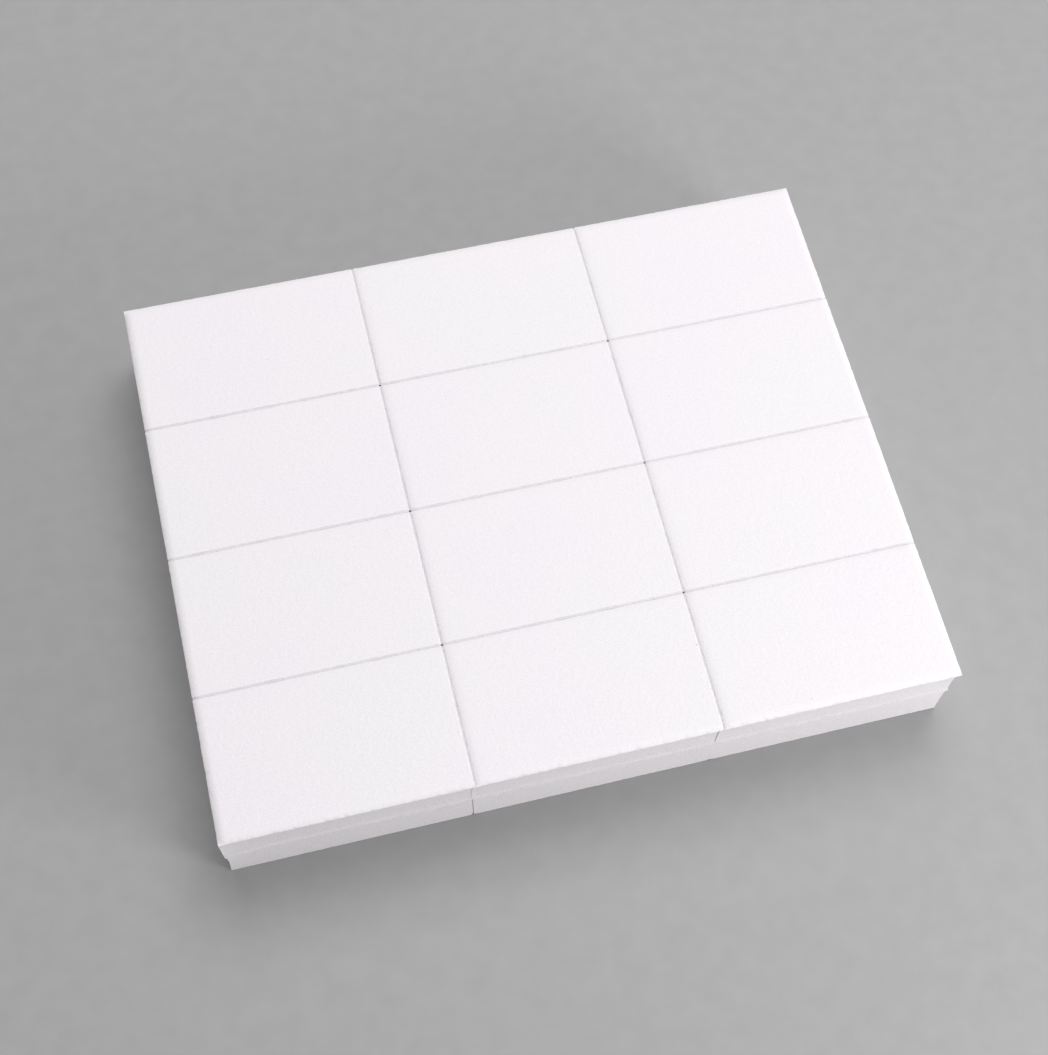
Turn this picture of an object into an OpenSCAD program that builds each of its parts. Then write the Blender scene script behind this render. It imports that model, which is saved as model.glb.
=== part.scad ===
// Snap-apart sheet of foam nail buffer blocks. Each block is a foam core with a coarse grit coat
// on its top face and a fine grit coat on its bottom face. The sheet is cut from both big faces,
// and a thin foam seam between neighbouring blocks holds them together until they are snapped off.
// Millimetres. +X runs to the right, +Y to the back and +Z up, from the centre of the bottom face.
// Row 1 is the front row and column 1 is the left column.

/* [Blocks] */
// Length of one block, left to right
block_w = 34.8; // [15:0.1:60]
// Width of one block, front to back
block_d = 20.6; // [12:0.1:40]
// Thickness of the sheet over both grit coats
sheet_h = 15.6; // [12:0.1:30]
// Number of blocks from left to right
columns = 3; // [2:1:3]
// Number of blocks from front to back
rows = 4; // [2:1:4]

/* [Grit coats] */
// Thickness of the coarse coat on the top face
coarse_t = 0.5; // [0.3:0.05:1]
// Thickness of the fine coat on the bottom face
fine_t = 0.4; // [0.3:0.05:1]

/* [Seams] */
// Width of the cut between two neighbouring blocks
kerf = 0.3; // [0.2:0.05:0.6]
// Thickness of the uncut web at mid height
web_t = 0.8; // [0.3:0.1:2]
// Height of the foam lips that close the mouth of each cut
lips_h = 2.4; // [1:0.1:3]
// Depth of the lips below each big face
mouth = 0.2; // [0.1:0.05:0.3]

/* [Outer walls] */
// Depth of the hollow in each half of an outer wall
hollow = 0.35; // [0.1:0.05:0.6]
// Thickness of the torn ridge left along the middle of an outer wall
ridge_t = 0.3; // [0.2:0.1:0.8]

/* [Colours] */
// Foam of the cores and the seams
foam_colour = "#e3dde0";
// Coarse grit coat
coarse_colour = "#f4f1f4";
// Fine grit coat
fine_colour = "#efeaed";

/* [Hidden] */
$fn = 96;
sheet_w = columns * block_w + (columns - 1) * kerf;
sheet_d = rows * block_d + (rows - 1) * kerf;
core_top = sheet_h - coarse_t;
mid_z = sheet_h / 2;
lower_half = [fine_t, mid_z - ridge_t / 2];
upper_half = [mid_z + ridge_t / 2, core_top];
past_end = 1;

function block_x(c) = (c - (columns + 1) / 2) * (block_w + kerf);
function block_y(r) = (r - (rows + 1) / 2) * (block_d + kerf);
function block_name(r, c) = str("r", r, "c", c);
function core_name(r, c) = str("foam_core_", block_name(r, c));
function coarse_name(r, c) = str("coarse_face_", block_name(r, c));
function fine_name(r, c) = str("fine_face_", block_name(r, c));
// Seam between a block and its right-hand neighbour
function side_seam_name(r, c) = str("seam_", block_name(r, c), "_", block_name(r, c + 1));
// Seam between a block and the block behind it
function back_seam_name(r, c) = str("seam_", block_name(r, c), "_", block_name(r + 1, c));

// A plain slab centred on the Z axis, from z up
module slab(size_x, size_y, z, height) {
    translate([-size_x / 2, -size_y / 2, z]) cube([size_x, size_y, height]);
}

// Two long shallow scoops, one on each side of the sheet, each touching the wall from low to high
module wall_scoops(low, high, reach, length) {
    chord = high - low;
    radius = chord * chord / (8 * hollow) + hollow / 2;
    for (side = [-1, 1])
        translate([side * (reach + radius - hollow), 0, (low + high) / 2])
            rotate([90, 0, 0]) cylinder(h = length, r = radius, center = true);
}

// What is scooped out of the four outer walls, leaving the lips and the torn ridge between them
module outer_hollows() {
    for (half = [lower_half, upper_half]) {
        wall_scoops(half[0], half[1], sheet_w / 2, sheet_d + 2 * past_end);
        rotate([0, 0, 90]) wall_scoops(half[0], half[1], sheet_d / 2, sheet_w + 2 * past_end);
    }
}

module foam_core(r, c) {
    color(foam_colour) difference() {
        translate([block_x(c), block_y(r), 0]) slab(block_w, block_d, fine_t, core_top - fine_t);
        outer_hollows();
    }
}

module coarse_face(r, c) {
    color(coarse_colour)
        translate([block_x(c), block_y(r), 0]) slab(block_w, block_d, core_top, coarse_t);
}

module fine_face(r, c) {
    color(fine_colour) translate([block_x(c), block_y(r), 0]) slab(block_w, block_d, 0, fine_t);
}

// The uncut web at mid height, and the foam lips that close the mouth of each cut
module seam_foam(size_x, size_y) {
    slab(size_x, size_y, mid_z - web_t / 2, web_t);
    slab(size_x, size_y, mouth, lips_h);
    slab(size_x, size_y, sheet_h - mouth - lips_h, lips_h);
}

module side_seam(r, c) {
    color(foam_colour) difference() {
        translate([(block_x(c) + block_x(c + 1)) / 2, block_y(r), 0]) seam_foam(kerf, block_d);
        outer_hollows();
    }
}

module back_seam(r, c) {
    color(foam_colour) difference() {
        translate([block_x(c), (block_y(r) + block_y(r + 1)) / 2, 0]) seam_foam(block_w, kerf);
        outer_hollows();
    }
}

for (r = [1:rows], c = [1:columns]) {
    foam_core(r, c);
    coarse_face(r, c);
    fine_face(r, c);
}
for (r = [1:rows], c = [1:columns - 1]) {
    side_seam(r, c);
}
for (r = [1:rows - 1], c = [1:columns]) {
    back_seam(r, c);
}
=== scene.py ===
"""A snap-apart sheet of foam nail buffer blocks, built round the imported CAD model.

Each block is a foam core between a coarse grit coat on top and a fine grit coat underneath, and a
thin seam of foam closes the cut between neighbouring blocks. Lengths are in millimetres until a
mesh is made. Row 1 is at the front (-Y) and column 1 is at the left (-X).
"""
import math

import bpy
import numpy as np
from mathutils import Matrix, Vector


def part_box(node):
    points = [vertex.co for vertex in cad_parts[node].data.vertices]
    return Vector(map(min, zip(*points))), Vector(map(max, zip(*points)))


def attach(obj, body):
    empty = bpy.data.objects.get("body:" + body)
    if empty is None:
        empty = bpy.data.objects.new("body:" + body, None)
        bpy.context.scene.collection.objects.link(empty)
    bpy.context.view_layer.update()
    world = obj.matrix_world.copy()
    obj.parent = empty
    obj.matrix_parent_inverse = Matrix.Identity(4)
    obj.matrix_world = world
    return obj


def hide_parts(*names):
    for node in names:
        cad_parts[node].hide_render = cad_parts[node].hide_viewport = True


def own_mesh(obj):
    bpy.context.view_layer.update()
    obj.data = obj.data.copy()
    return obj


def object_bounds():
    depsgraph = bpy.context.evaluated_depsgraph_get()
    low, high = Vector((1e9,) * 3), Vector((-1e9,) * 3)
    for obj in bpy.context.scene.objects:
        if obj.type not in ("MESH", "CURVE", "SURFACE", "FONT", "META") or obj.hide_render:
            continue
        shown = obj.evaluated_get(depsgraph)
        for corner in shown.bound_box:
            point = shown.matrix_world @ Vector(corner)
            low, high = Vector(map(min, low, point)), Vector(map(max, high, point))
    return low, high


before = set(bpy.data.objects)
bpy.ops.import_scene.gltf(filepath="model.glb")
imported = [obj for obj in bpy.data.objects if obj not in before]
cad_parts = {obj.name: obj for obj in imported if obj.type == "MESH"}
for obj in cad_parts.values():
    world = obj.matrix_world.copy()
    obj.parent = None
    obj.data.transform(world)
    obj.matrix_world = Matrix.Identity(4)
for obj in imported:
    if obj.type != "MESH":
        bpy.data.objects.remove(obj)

MM = 0.001
cad_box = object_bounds()


def node_box(node):
    """Lowest and highest corner of a CAD node, in millimetres."""
    low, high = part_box(node)
    return np.array(low) / MM, np.array(high) / MM


BLOCKS = sorted(n[len("foam_core_"):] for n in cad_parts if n.startswith("foam_core_"))
SEAMS = sorted(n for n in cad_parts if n.startswith("seam_"))
LOW, HIGH = np.array(cad_box[0]) / MM, np.array(cad_box[1]) / MM
MID_Z = (LOW[2] + HIGH[2]) / 2
CORE_LOW, CORE_HIGH = node_box("foam_core_" + BLOCKS[0])
CORE_BOTTOM, CORE_TOP = CORE_LOW[2], CORE_HIGH[2]
KERF = node_box("seam_r1c1_r1c2")[1][0] - node_box("seam_r1c1_r1c2")[0][0]

# ---------------------------------------------------------------- surface relief

TABLE = 512


def lattice(u, v, cell, seed):
    """Smooth noise from 0 to 1 over a plane, with one random value at each corner of a square cell."""
    table = np.random.RandomState(seed).rand(TABLE, TABLE)
    i, j = np.floor(u / cell).astype(int), np.floor(v / cell).astype(int)
    a, b = u / cell - i, v / cell - j
    a, b = a * a * (3 - 2 * a), b * b * (3 - 2 * b)
    near = table[i % TABLE, j % TABLE] * (1 - a) + table[(i + 1) % TABLE, j % TABLE] * a
    far = table[i % TABLE, (j + 1) % TABLE] * (1 - a) + table[(i + 1) % TABLE, (j + 1) % TABLE] * a
    return near * (1 - b) + far * b


# Grain size, depth of the hollows between grains, noise seed and mesh spacing of each grit coat
GRITS = {
    "coarse": {"grain": 0.36, "depth": 0.045, "seed": 11, "spacing": 0.17},
    "fine": {"grain": 0.22, "depth": 0.025, "seed": 23, "spacing": 0.4},
}


def grit_relief(x, y, grit):
    """How far the grit surface lies below its highest grains."""
    grain, seed = grit["grain"], grit["seed"]
    clumps = lattice(x, y, grain, seed)
    grains = lattice(x, y, grain / 2, seed + 1)
    waves = lattice(x, y, 14 * grain, seed + 2)
    return grit["depth"] * (0.45 * clumps + 0.35 * grains + 0.2 * waves)


# Width and drop of the rounded edge, depth and reach of the soft dip beside it, and how ragged the
# grit's rim is. The blade pulled the face down on one side of each cut.
OUTER_EDGE = {"radius": 1.1, "drop": 0.4, "dip": 0.05, "reach": 0.9, "bite": 1.0}
UNDER_EDGE = {"radius": 0.12, "drop": 0.06, "dip": 0.0, "reach": 1.0, "bite": 0.3}
CRISP_EDGE = {"radius": 0.05, "drop": 0.05, "dip": 0.01, "reach": 0.3, "bite": 0.2}
PULLED_EDGE = {"radius": 0.05, "drop": 0.05, "dip": 0.18, "reach": 0.4, "bite": 0.2}
ROLLED_EDGE = {"radius": 0.05, "drop": 0.05, "dip": 0.1, "reach": 0.35, "bite": 0.2}
# The deepest that a lip may fall
DEEPEST_FALL = 0.45


def edge_fall(distance, edge):
    """How far the face has dropped at a distance from an edge: a round lip and a shallow dip."""
    distance = np.maximum(distance, 0)
    inside = np.clip(1 - distance / edge["radius"], 0, 1)
    lip = edge["drop"] * (0.6 * inside * inside + 0.4 * (1 - np.sqrt(1 - inside * inside)))
    return lip + edge["dip"] * np.exp(-distance / edge["reach"])


def block_place(block):
    """Row and column of a block from its name, such as r2c3."""
    row, column = block[1:].split("c")
    return int(row), int(column)


def block_edges(block, grit_name):
    """Edge styles of a block's coat: left, right, front, back."""
    row, column = block_place(block)
    rows, columns = block_place(BLOCKS[-1])
    outer = OUTER_EDGE if grit_name == "coarse" else UNDER_EDGE
    return (
        outer if column == 1 else PULLED_EDGE,
        outer if column == columns else CRISP_EDGE,
        outer if row == 1 else CRISP_EDGE,
        outer if row == rows else ROLLED_EDGE,
    )


# ---------------------------------------------------------------- outer walls and seams

# Outer walls in the order front, right, back, left. The waist is how far the middle stands back, and
# the scoops are the hollows of the upper and lower half.
WALLS = (
    {"waist": 0.38, "upper": 0.42, "lower": 0.03, "seed": 40},
    {"waist": 0.22, "upper": 0.05, "lower": 0.12, "seed": 50},
    {"waist": 0.3, "upper": 0.02, "lower": 0.08, "seed": 60},
    {"waist": 0.05, "upper": 0.1, "lower": 0.24, "seed": 70},
)
FRONT, RIGHT, BACK, LEFT = range(4)
# Axis across each outer wall, and whether the wall is at that axis's low or high end
WALL_SIDES = ((1, -1), (0, 1), (1, 1), (0, -1))
# How early in the lower half the scoop is deepest, and how far from a wall's start its waist forms
SCOOP_LEAN = 0.65
WAIST_START = 2.5
# The torn ridge at mid height: its reach beyond the waist and half its thickness
RIDGE_REACH = 0.42
RIDGE_HALF = 0.12
RIDGE_Z = MID_Z + 0.1
FOAM_PORE = 0.03
# How far inside the sheet a hollow wall still pulls the foam in
PULL_REACH = 2

# How far each cut has wandered sideways at mid height and at the bottom
CUT_DRIFT_X = ((-0.36, -0.33), (-0.16, -0.16))
CUT_DRIFT_Y = ((0.25, -0.2, 0.3), (0.18, -0.12, 0.22))


def wall_depth(along, z, side):
    """How far an outer wall lies inside the sheet's edge, at a place along it and a height."""
    wall = WALLS[side]
    seed = wall["seed"]
    upper = np.clip((CORE_TOP - z) / (CORE_TOP - RIDGE_Z), 0, 1)
    lower = np.clip((RIDGE_Z - z) / (RIDGE_Z - CORE_BOTTOM), 0, 1)
    start = along - LOW[1 - WALL_SIDES[side][0]]
    formed = 1 - np.exp(-np.maximum(start, 0) / WAIST_START)
    waist, scoop = wall["waist"] * formed, wall["upper"] * formed
    above = waist * (1 - (1 - upper) ** 2) + scoop * np.sin(math.pi * upper ** SCOOP_LEAN)
    below = waist * (1 - lower) + wall["lower"] * np.sin(math.pi * lower ** SCOOP_LEAN)
    torn = 0.5 + 0.8 * lattice(along, 0 * z, 1.1, seed) * lattice(along, 0 * z, 9, seed + 1)
    wander = 0.16 * (lattice(along, 0 * z, 4, seed + 2) - 0.5)
    ridge = RIDGE_REACH * torn * np.exp(-(((z - RIDGE_Z - wander) / RIDGE_HALF) ** 2))
    pores = FOAM_PORE * lattice(along, z, 0.3, seed + 3) * lattice(along, z, 0.9, seed + 4)
    waves = 0.05 * lattice(along, z, 6, seed + 5)
    return np.clip(np.where(z > RIDGE_Z, above, below) - ridge + pores + waves, 0, None)


def hollowed(points, sides, extra=0):
    """Pulls in the points near the outer walls named in sides by the walls' depth there, plus extra."""
    shifts = np.zeros_like(points)
    for side in sides:
        axis, sign = WALL_SIDES[side]
        distance = np.abs(points[:, axis] - (HIGH if sign > 0 else LOW)[axis])
        depth = np.clip(wall_depth(points[:, 1 - axis], points[:, 2], side) + extra, 0, None)
        shifts[:, axis] -= sign * depth * np.clip(1 - distance / PULL_REACH, 0, 1)
    return points + shifts


def cut_lines(axis):
    """Middle of each cut along X (axis 0) or Y (axis 1), with the sheet's two outer edges."""
    rows, columns = block_place(BLOCKS[-1])
    names = [f"seam_r1c{k}_r1c{k + 1}" for k in range(1, columns)]
    if axis == 1:
        names = [f"seam_r{k}c1_r{k + 1}c1" for k in range(1, rows)]
    middles = [(node_box(n)[0][axis] + node_box(n)[1][axis]) / 2 for n in names]
    return [LOW[axis], *middles, HIGH[axis]]


CUTS_X, CUTS_Y = cut_lines(0), cut_lines(1)


def drifted(points):
    """Moves points sideways as far as the cuts beside them have wandered at their height."""
    z = points[:, 2].copy()
    for axis, cuts, drifts in ((0, CUTS_X, CUT_DRIFT_X), (1, CUTS_Y, CUT_DRIFT_Y)):
        middle, bottom = (np.interp(points[:, axis], cuts, [0, *drift, 0]) for drift in drifts)
        share = (HIGH[2] - z) / (HIGH[2] - MID_Z)
        points[:, axis] += np.where(share < 1, middle * share, middle + (bottom - middle) * (share - 1))
    return points


# ---------------------------------------------------------------- mesh making

# Faces that meet at more than this many degrees get a sharp edge between them
SHARP_ANGLE = 50
# Points on the quarter turn of a round lip
LIP_POINTS = 6


def make_piece(name, points, quads, caps=()):
    """A smooth-shaded mesh object from points in millimetres, quads and many-sided caps."""
    mesh = bpy.data.meshes.new(name)
    corners = np.concatenate([np.asarray(quads).ravel(), *caps]).astype(np.int32)
    sizes = np.array([4] * len(quads) + [len(c) for c in caps], np.int32)
    mesh.vertices.add(len(points))
    mesh.vertices.foreach_set("co", (points * MM).astype(np.float32).ravel())
    mesh.loops.add(len(corners))
    mesh.loops.foreach_set("vertex_index", corners)
    mesh.polygons.add(len(sizes))
    starts = np.concatenate([[0], np.cumsum(sizes)[:-1]]).astype(np.int32)
    mesh.polygons.foreach_set("loop_start", starts)
    mesh.polygons.foreach_set("use_smooth", np.ones(len(sizes), bool))
    mesh.update(calc_edges=True)
    mesh.validate()
    mesh.set_sharp_from_angle(angle=math.radians(SHARP_ANGLE))
    piece = bpy.data.objects.new(name, mesh)
    bpy.context.scene.collection.objects.link(piece)
    return piece


def ring_quads(first, rings, count):
    """Quads between rings of count points each, from the top ring down, that face outwards."""
    here = np.arange(count)
    ahead = (here + 1) % count
    quads = []
    for k in range(rings - 1):
        top = first + k * count
        bottom = top + count
        quads.append(np.stack([top + here, bottom + here, bottom + ahead, top + ahead], 1))
    return np.concatenate(quads)


def lip_points(low, high, low_radius, high_radius, spacing):
    """Coordinates from low to high, close together where the lips are round."""
    turn = np.linspace(0, math.pi / 2, LIP_POINTS)
    inner = np.linspace(low + low_radius, high - high_radius, int((high - low) / spacing) + 2)[1:-1]
    return np.concatenate([
        low + low_radius * (1 - np.cos(turn)),
        inner,
        high - high_radius * (1 - np.cos(turn[::-1])),
    ])


def grid_rim(count_x, count_y):
    """Indices of a grid's rim, anticlockwise from above, where a point's index is i * count_y + j."""
    i, j = np.arange(count_x), np.arange(count_y)
    return np.concatenate([
        i[:-1] * count_y,
        (count_x - 1) * count_y + j[:-1],
        i[:0:-1] * count_y + count_y - 1,
        j[:0:-1],
    ])


def grid_quads(count_x, count_y):
    """Quads of a grid, facing up."""
    i, j = np.meshgrid(np.arange(count_x - 1), np.arange(count_y - 1), indexing="ij")
    corner = (i * count_y + j).ravel()
    return np.stack([corner, corner + count_y, corner + count_y + 1, corner + 1], 1)


# ---------------------------------------------------------------- grit coats


def coat_height(x, y, low, high, edges, grit):
    """How far a coat's face lies below its highest level, all over one block."""
    distances = (x - low[0], high[0] - x, y - low[1], high[1] - y)
    fall = sum(edge_fall(d, edge) for d, edge in zip(distances, edges))
    return np.minimum(fall, DEEPEST_FALL) + grit_relief(x, y, grit)


# How far in from a coat's edge the face still gives way where grit has broken off the rim
BITE_REACH = 0.6
# Depth and width of the small bites all along the rim and of the rarer large ones
SMALL_BITE = {"depth": 0.04, "width": 0.3}
LARGE_BITE = {"depth": 0.12, "width": 0.7}


def bitten(points, low, high, edges, seed):
    """Pulls a coat's points in near its edges, unevenly, as broken grit leaves them."""
    around = points[:, 0] + points[:, 1]
    small = SMALL_BITE["depth"] * lattice(around, 0 * around, SMALL_BITE["width"], seed)
    large = LARGE_BITE["depth"] * lattice(around, 0 * around, LARGE_BITE["width"], seed + 1) ** 4
    bites = small + large
    left, right, front, back = (edge["bite"] for edge in edges)
    for axis, near, far in ((0, left, right), (1, front, back)):
        from_low = np.clip(1 - (points[:, axis] - low[axis]) / BITE_REACH, 0, 1)
        from_high = np.clip(1 - (high[axis] - points[:, axis]) / BITE_REACH, 0, 1)
        points[:, axis] += bites * (near * from_low - far * from_high)
    return points


def grit_coat(block, grit_name):
    """One block's coat: a granular face with round lips, its side walls and a flat back."""
    node = f"{grit_name}_face_{block}"
    low, high = node_box(node)
    grit = GRITS[grit_name]
    edges = block_edges(block, grit_name)
    left, right, front, back = (edge["radius"] for edge in edges)
    x, y = np.meshgrid(
        lip_points(low[0], high[0], left, right, grit["spacing"]),
        lip_points(low[1], high[1], front, back, grit["spacing"]),
        indexing="ij",
    )
    fall = coat_height(x, y, low, high, edges, grit)
    face = high[2] - fall
    flat = low[2]
    if grit_name == "fine":
        face = low[2] + fall
        flat = high[2]
    points = np.stack([x, y, face], -1).reshape(-1, 3)
    points = bitten(points, low, high, edges, grit["seed"] + 5)
    rim = grid_rim(*x.shape)
    foot = points[rim].copy()
    foot[:, 2] = flat
    first = len(points)
    points = np.concatenate([points, foot])
    here = np.arange(len(rim))
    ahead = (here + 1) % len(rim)
    walls = np.stack([rim[here], first + here, first + ahead, rim[ahead]], 1)
    quads = np.concatenate([grid_quads(*x.shape), walls])
    cap = (first + here)[::-1]
    if grit_name == "fine":
        quads = quads[:, ::-1]
        cap = cap[::-1]
    return make_piece(f"{grit_name}_grit_{block}", drifted(points), quads, [cap])


# ---------------------------------------------------------------- foam cores

# Height of the closely stepped bands beside the ridge and at a wall's rims, and the number of wider
# steps between them on a core and on a seam
RIDGE_BAND = 0.4
RIM_BAND = 0.3
CORE_STEPS = 26
SEAM_STEPS = 8
# Spacing of the points round a block on its outer walls and on its flat cut walls
OUTER_SPACING = 0.2
CUT_SPACING = 1.0


def wall_levels(steps):
    """Heights of a wall's rings from top to bottom, close together at the ridge and the rims."""
    half = np.concatenate([
        np.linspace(0, RIDGE_BAND, 9)[:-1],
        np.linspace(RIDGE_BAND, CORE_TOP - RIDGE_Z - RIM_BAND, steps)[:-1],
        np.linspace(CORE_TOP - RIDGE_Z - RIM_BAND, CORE_TOP - RIDGE_Z, 5),
    ])
    below = half[1:] * (RIDGE_Z - CORE_BOTTOM) / (CORE_TOP - RIDGE_Z)
    return np.concatenate([RIDGE_Z + half[::-1], RIDGE_Z - below])


def core_loop(low, high, outer):
    """Points round a box, anticlockwise, close together on the sides that are outer walls."""
    corners = [(low[0], low[1]), (high[0], low[1]), (high[0], high[1]), (low[0], high[1])]
    loop = []
    for side, start in enumerate(corners):
        end = corners[(side + 1) % 4]
        length = abs(end[0] - start[0]) + abs(end[1] - start[1])
        steps = int(length / (OUTER_SPACING if side in outer else CUT_SPACING))
        for t in np.arange(steps) / steps:
            loop.append([start[0] + (end[0] - start[0]) * t, start[1] + (end[1] - start[1]) * t])
    return np.array(loop)


def outer_sides(block):
    """Which of a block's front, right, back and left sides are outer walls of the sheet."""
    row, column = block_place(block)
    rows, columns = block_place(BLOCKS[-1])
    is_outer = (row == 1, column == columns, row == rows, column == 1)
    return [side for side in (FRONT, RIGHT, BACK, LEFT) if is_outer[side]]


def foam_core(block):
    """One block's foam core, with scooped and torn outer walls and flat cut walls at its seams."""
    low, high = node_box("foam_core_" + block)
    outer = outer_sides(block)
    loop = core_loop(low, high, outer)
    levels = wall_levels(CORE_STEPS)
    x, z = np.meshgrid(loop[:, 0], levels)
    y = np.meshgrid(loop[:, 1], levels)[0]
    points = drifted(hollowed(np.stack([x, y, z], -1).reshape(-1, 3), outer))
    count = len(loop)
    quads = ring_quads(0, len(levels), count)
    caps = [np.arange(count), (len(levels) - 1) * count + np.arange(count)[::-1]]
    return make_piece(f"core_{block}", points, quads, caps)


# ---------------------------------------------------------------- seams

# How far a seam's end stands back from the outer wall, above and below mid height
SEAM_END_BACK = {
    "seam_r1c1_r1c2": (-0.04, 0.12),
    "seam_r1c2_r1c3": (0.12, 0.0),
}
SEAM_END_DEFAULT = (0.06, 0.1)
# Places across a seam as shares of its thickness, the shape of the hairline groove there, and the
# groove's depth in the seams between columns and between rows
SEAM_ACROSS = np.array([0, 0.2, 0.36, 0.5, 0.64, 0.8, 1])
SEAM_GROOVE = np.array([0.05, 0.05, 0.2, 1, 0.2, 0.05, 0.05])
GROOVE_DEPTH = (0.16, 0.05)
SEAM_SPACING = 0.25
# Height from which a seam's end counts as above mid height
SEAM_SPLIT_Z = RIDGE_Z + 0.1
# Where rows and columns cross, the seams between columns almost meet at mid height and stand apart
# by this share of the cut at both faces, so that the rows can fold
CROSSING_WEDGE = 0.85
# Hair's breadth between a seam's foam and what it closes
CLEARANCE = 0.01
# The uncut strip at mid height: half its height, the points up its side, its gap to the blocks, and
# how far its ends stand back from the outer walls
WEB_HALF = 0.4
WEB_LEVELS = 9
WEB_CLEARANCE = 0.07
WEB_END_BACK = 0.14


def seam_axes(low, high):
    """The axis across a seam and the axis along it."""
    thin = 0 if high[0] - low[0] < high[1] - low[1] else 1
    return thin, 1 - thin


def inner_ends(low, high, along):
    """Whether a seam's low end and its high end lie inside the sheet, where cuts cross."""
    return low[along] > LOW[along] + KERF, high[along] < HIGH[along] - KERF


def seam_face(node, xs, ys, thin, grit_name):
    """How far a seam's face lies below the highest grit: level with both lips, grooved between."""
    x, y = np.meshgrid(xs, ys, indexing="ij")
    lips = []
    for block in node.split("_")[1:]:
        low, high = node_box(f"{grit_name}_face_{block}")
        near_x, near_y = np.clip(x, low[0], high[0]), np.clip(y, low[1], high[1])
        edges = block_edges(block, grit_name)
        lips.append(coat_height(near_x, near_y, low, high, edges, GRITS[grit_name]))
    share, groove = SEAM_ACROSS, SEAM_GROOVE
    if thin == 0:
        share, groove = share[:, None], groove[:, None]
    return lips[0] * (1 - share) + lips[1] * share + GROOVE_DEPTH[thin] * groove


def seam_foam(node):
    """The foam that closes one cut: a thin slab, grooved at its mouths and torn at its outer ends."""
    low, high = node_box(node)
    thin, along = seam_axes(low, high)
    starts_inside, ends_inside = inner_ends(low, high, along)
    across_points = low[thin] + CLEARANCE + (high[thin] - low[thin] - 2 * CLEARANCE) * SEAM_ACROSS
    along_low = low[along] + CLEARANCE * starts_inside
    along_high = high[along] - CLEARANCE * ends_inside
    steps = int((high[along] - low[along]) / SEAM_SPACING)
    along_points = np.linspace(along_low, along_high, steps + 1)
    if thin == 0:
        ends = (low[along] + CLEARANCE - KERF / 2, high[along] - CLEARANCE + KERF / 2)
        along_points = np.concatenate([
            ends[:1] if starts_inside else [],
            along_points,
            ends[1:] if ends_inside else [],
        ])
    xs, ys = (across_points, along_points) if thin == 0 else (along_points, across_points)
    x, y = np.meshgrid(xs, ys, indexing="ij")
    top = np.stack([x, y, HIGH[2] - seam_face(node, xs, ys, thin, "coarse")], -1).reshape(-1, 3)
    bottom = np.stack([x, y, LOW[2] + seam_face(node, xs, ys, thin, "fine")], -1).reshape(-1, 3)
    rim = grid_rim(*x.shape)
    levels = wall_levels(SEAM_STEPS)
    ring_x, ring_z = np.meshgrid(top[rim, 0], levels)
    ring_y = np.meshgrid(top[rim, 1], levels)[0]
    rings = np.stack([ring_x, ring_y, ring_z], -1).reshape(-1, 3)
    points = np.concatenate([top, rings, bottom])
    spread = np.abs(points[:, 2] - MID_Z) / (HIGH[2] - MID_Z)
    past = points[:, along] - np.clip(points[:, along], low[along], high[along])
    points[:, along] -= CROSSING_WEDGE * past * spread
    above, below = SEAM_END_BACK.get(node, SEAM_END_DEFAULT)
    back = np.where(points[:, 2] > SEAM_SPLIT_Z, above, below)
    points = hollowed(points, (LEFT, RIGHT) if thin else (FRONT, BACK), back)
    count = len(rim)
    here = np.arange(count)
    ahead = (here + 1) % count
    first = len(top)
    last = first + (len(levels) - 1) * count
    under = last + count
    quads = np.concatenate([
        grid_quads(*x.shape),
        np.stack([rim[here], first + here, first + ahead, rim[ahead]], 1),
        ring_quads(first, len(levels), count),
        np.stack([last + here, under + rim[here], under + rim[ahead], last + ahead], 1),
        under + grid_quads(*x.shape)[:, ::-1],
    ])
    points = drifted(points)
    if thin and starts_inside:
        # What drifted past the left end is held there, where such points lie on top of each other
        points[:, 0] = np.maximum(points[:, 0], low[0] + CLEARANCE)
    return make_piece(node.replace("seam_", "seam_foam_"), points, quads)


def seam_web(node):
    """The uncut strip at mid height that holds two blocks together while the cut's mouths open."""
    low, high = node_box(node)
    thin, along = seam_axes(low, high)
    starts_inside, ends_inside = inner_ends(low, high, along)
    low[thin] += WEB_CLEARANCE
    high[thin] -= WEB_CLEARANCE
    low[along] += WEB_CLEARANCE * starts_inside
    high[along] -= WEB_CLEARANCE * ends_inside
    outline = core_loop(low, high, (FRONT, RIGHT, BACK, LEFT))
    heights = MID_Z + WEB_HALF * np.linspace(1, -1, WEB_LEVELS)
    count = len(outline)
    points = np.array([(x, y, z) for z in heights for x, y in outline])
    points = drifted(hollowed(points, (LEFT, RIGHT) if thin else (FRONT, BACK), WEB_END_BACK))
    if thin and starts_inside:
        # Held at the left end, as the seam's foam is
        points[:, 0] = np.maximum(points[:, 0], low[0])
    caps = [np.arange(count), (len(heights) - 1) * count + np.arange(count)[::-1]]
    quads = ring_quads(0, len(heights), count)
    return make_piece(node.replace("seam_", "seam_web_"), points, quads, caps)


def follow_blocks(foam, web, node):
    """Rides a seam on its block in the middle column, or on the front one of its two rows' blocks.

    Its foam and its web both keep their shape.
    """
    blocks = node.split("_")[1:]
    (row, column), (back_row, _) = (block_place(block) for block in blocks)
    low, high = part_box(node)
    anchor = (np.array(low) + high) / 2
    if row == back_row:
        body = blocks[1] if column == 1 else blocks[0]
        drifts = [drift[column - 1] for drift in CUT_DRIFT_X]
        anchor[0] = high[0] + max(0, *drifts) * MM if column == 1 else low[0] + min(0, *drifts) * MM
    else:
        body = blocks[0]
        anchor[1] = low[1] + min(0, *(drift[row - 1] for drift in CUT_DRIFT_Y)) * MM
    for piece in (foam, web):
        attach(piece, "block_" + body)
    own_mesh(foam)


# ---------------------------------------------------------------- materials


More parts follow.
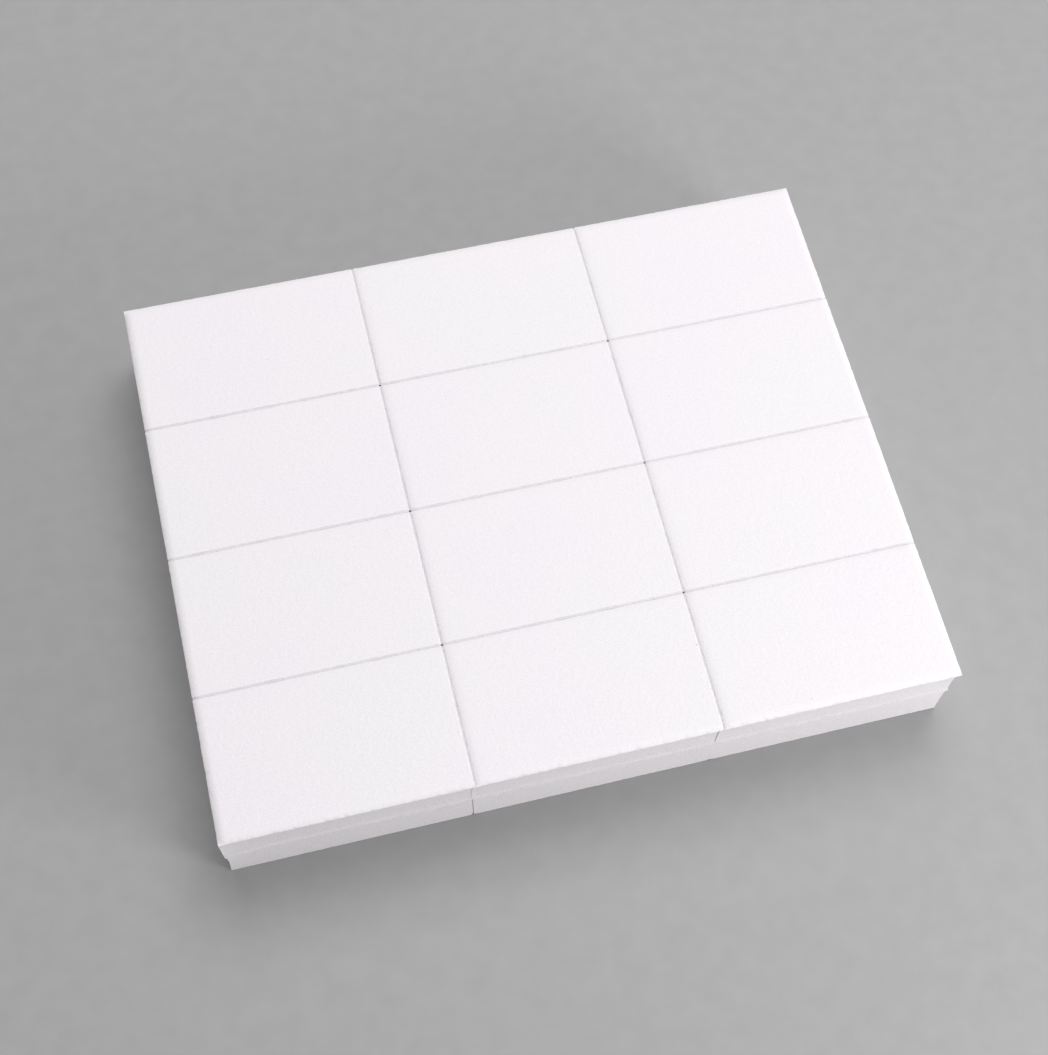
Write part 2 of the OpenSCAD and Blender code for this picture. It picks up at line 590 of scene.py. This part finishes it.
class Nodes:
    """Adds and links shader nodes in one material."""

    def __init__(self, name):
        self.material = bpy.data.materials.new(name)
        self.material.use_nodes = True
        self.tree = self.material.node_tree
        self.shader = self.tree.nodes["Principled BSDF"]
        self.place = self.add("ShaderNodeTexCoord").outputs["Object"]

    def add(self, kind, **settings):
        node = self.tree.nodes.new(kind)
        for key, value in settings.items():
            setattr(node, key, value)
        return node

    def link(self, output, target):
        self.tree.links.new(output, target)

    def noise(self, per_mm, detail=2.0, roughness=0.5):
        """Noise with a number of blobs per millimetre."""
        node = self.add("ShaderNodeTexNoise")
        node.inputs["Scale"].default_value = per_mm / MM
        node.inputs["Detail"].default_value = detail
        node.inputs["Roughness"].default_value = roughness
        self.link(self.place, node.inputs["Vector"])
        return node.outputs["Fac"]

    def cells(self, per_mm):
        """Distance to the nearest of a number of points per millimetre."""
        node = self.add("ShaderNodeTexVoronoi")
        node.inputs["Scale"].default_value = per_mm / MM
        self.link(self.place, node.inputs["Vector"])
        return node.outputs["Distance"]

    def ramp(self, value, stops):
        """A colour ramp through (position, colour) stops."""
        node = self.add("ShaderNodeValToRGB")
        elements = node.color_ramp.elements
        while len(elements) < len(stops):
            elements.new(0.5)
        for element, (position, colour) in zip(elements, stops):
            element.position = position
            element.color = (*colour, 1)
        self.link(value, node.inputs["Fac"])
        return node.outputs["Color"]

    def multiply(self, first, second):
        """One colour times another. Sockets 6 and 7 are a mix node's colours, and output 2 its result."""
        node = self.add("ShaderNodeMix", data_type="RGBA", blend_type="MULTIPLY")
        node.inputs[0].default_value = 1.0
        self.link(first, node.inputs[6])
        self.link(second, node.inputs[7])
        return node.outputs[2]

    def bump(self, height, distance_mm):
        node = self.add("ShaderNodeBump")
        node.inputs["Distance"].default_value = distance_mm * MM
        self.link(height, node.inputs["Height"])
        self.link(node.outputs["Normal"], self.shader.inputs["Normal"])


def grey(level):
    return (level, level, level)


def grit_material(name, pale, deep, grains_per_mm, bump_mm):
    """White bonded grit: lighter and darker grains, faint warm and cool patches, rare specks."""
    nodes = Nodes(name)
    grains = nodes.noise(grains_per_mm, detail=3.0, roughness=0.7)
    colour = nodes.ramp(grains, [(0.32, deep), (0.62, pale)])
    patches = nodes.ramp(nodes.noise(0.05), [(0.4, (1, 0.988, 0.998)), (0.6, (0.994, 1, 0.994))])
    colour = nodes.multiply(colour, patches)
    specks = nodes.ramp(nodes.cells(0.18), [(0.008, grey(0.4)), (0.018, grey(1.0))])
    colour = nodes.multiply(colour, specks)
    nodes.link(colour, nodes.shader.inputs["Base Color"])
    dull = nodes.ramp(grains, [(0.3, grey(0.95)), (0.7, grey(0.78))])
    nodes.link(dull, nodes.shader.inputs["Roughness"])
    nodes.shader.inputs["Specular IOR Level"].default_value = 0.3
    nodes.bump(grains, bump_mm)
    return nodes.material


def foam_material(name):
    """White sponge foam, cut open: a finer web of cell walls, with painted shade darkening its small
    pores.
    """
    nodes = Nodes(name)
    pores = nodes.cells(3.2)
    walls = nodes.noise(5.0, detail=3.0, roughness=0.65)
    colour = nodes.ramp(walls, [(0.3, (0.72, 0.69, 0.72)), (0.65, (0.84, 0.808, 0.84))])
    # Painted shade: the middle of each open pore is darkened, where light does not reach into the cell
    hollow = nodes.ramp(pores, [(0.05, grey(0.86)), (0.4, grey(1.0))])
    colour = nodes.multiply(colour, hollow)
    nodes.link(colour, nodes.shader.inputs["Base Color"])
    dull = nodes.ramp(walls, [(0.3, grey(1.0)), (0.7, grey(0.88))])
    nodes.link(dull, nodes.shader.inputs["Roughness"])
    nodes.shader.inputs["Specular IOR Level"].default_value = 0.2
    nodes.bump(walls, 0.03)
    return nodes.material


MATERIALS = {
    "coarse": grit_material("coarse_grit", (0.9, 0.868, 0.9), (0.82, 0.79, 0.82), 4.5, 0.03),
    "fine": grit_material("fine_grit", (0.88, 0.85, 0.88), (0.83, 0.8, 0.83), 8.0, 0.012),
    "foam": foam_material("sponge_foam"),
}


def finish_piece(piece, material, node):
    piece.data.materials.append(MATERIALS[material])
    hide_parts(node)


# ---------------------------------------------------------------- the sheet

for block in BLOCKS:
    body = "block_" + block
    core = foam_core(block)
    finish_piece(core, "foam", "foam_core_" + block)
    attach(core, body)
    for grit_name in GRITS:
        coat = grit_coat(block, grit_name)
        finish_piece(coat, grit_name, f"{grit_name}_face_{block}")
        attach(coat, body)

for node in SEAMS:
    foam, web = seam_foam(node), seam_web(node)
    for piece in (foam, web):
        finish_piece(piece, "foam", node)
    follow_blocks(foam, web, node)

# ---------------------------------------------------------------- floor, light and camera


def floor_material():
    nodes = Nodes("pale_floor")
    colour = nodes.ramp(nodes.noise(0.3), [(0.3, grey(0.37)), (0.7, grey(0.39))])
    nodes.link(colour, nodes.shader.inputs["Base Color"])
    nodes.shader.inputs["Roughness"].default_value = 0.9
    return nodes.material


def make_floor():
    bpy.ops.mesh.primitive_plane_add(size=6, location=(0, 0, LOW[2] * MM))
    floor = bpy.context.object
    floor.name = "floor"
    floor.data.materials.append(floor_material())


def soft_light(name, place, size, watts):
    """A square area light that faces the middle of the sheet."""
    light = bpy.data.lights.new(name, "AREA")
    light.size = size
    light.energy = watts
    lamp = bpy.data.objects.new(name, light)
    lamp.location = place
    lamp.visible_camera = False
    lamp.rotation_euler = (-Vector(place)).to_track_quat("-Z", "Y").to_euler()
    bpy.context.scene.collection.objects.link(lamp)


def make_world(level):
    world = bpy.data.worlds.new("studio")
    world.use_nodes = True
    world.node_tree.nodes["Background"].inputs["Color"].default_value = (*grey(level), 1)
    bpy.context.scene.world = world


# Angles in degrees, the distance from the aim and the lens in millimetres
CAMERA_AZIMUTH = -19.3
CAMERA_ELEVATION = 66.6
CAMERA_ROLL = 5.97
CAMERA_DISTANCE = 241.8
CAMERA_LENS = 57.5
# Where the camera aims on the top face, from the sheet's middle
CAMERA_AIM = (-2.19, -6.27)


def make_camera():
    angles = (CAMERA_AZIMUTH, CAMERA_ELEVATION, CAMERA_ROLL)
    azimuth, elevation, roll = (math.radians(angle) for angle in angles)
    away = Vector((
        math.sin(azimuth) * math.cos(elevation),
        -math.cos(azimuth) * math.cos(elevation),
        math.sin(elevation),
    ))
    level = Vector((math.cos(azimuth), math.sin(azimuth), 0))
    up = away.cross(level)
    right = level * math.cos(roll) + up * math.sin(roll)
    top = up * math.cos(roll) - level * math.sin(roll)
    place = Vector((*CAMERA_AIM, HIGH[2])) * MM + away * CAMERA_DISTANCE * MM
    data = bpy.data.cameras.new("camera")
    data.sensor_width = 36
    data.lens = CAMERA_LENS
    data.clip_start = 0.01
    camera = bpy.data.objects.new("camera", data)
    camera.matrix_world = Matrix.Translation(place) @ Matrix((right, top, away)).transposed().to_4x4()
    bpy.context.scene.collection.objects.link(camera)
    bpy.context.scene.camera = camera


make_floor()
soft_light("overhead", place=(0.13, 0.29, 0.63), size=0.5, watts=3.0)
soft_light("side", place=(0.22, -0.23, 0.1), size=0.12, watts=0.59)
make_world(level=0.45)
make_camera()
bpy.context.scene.view_settings.view_transform = "Standard"
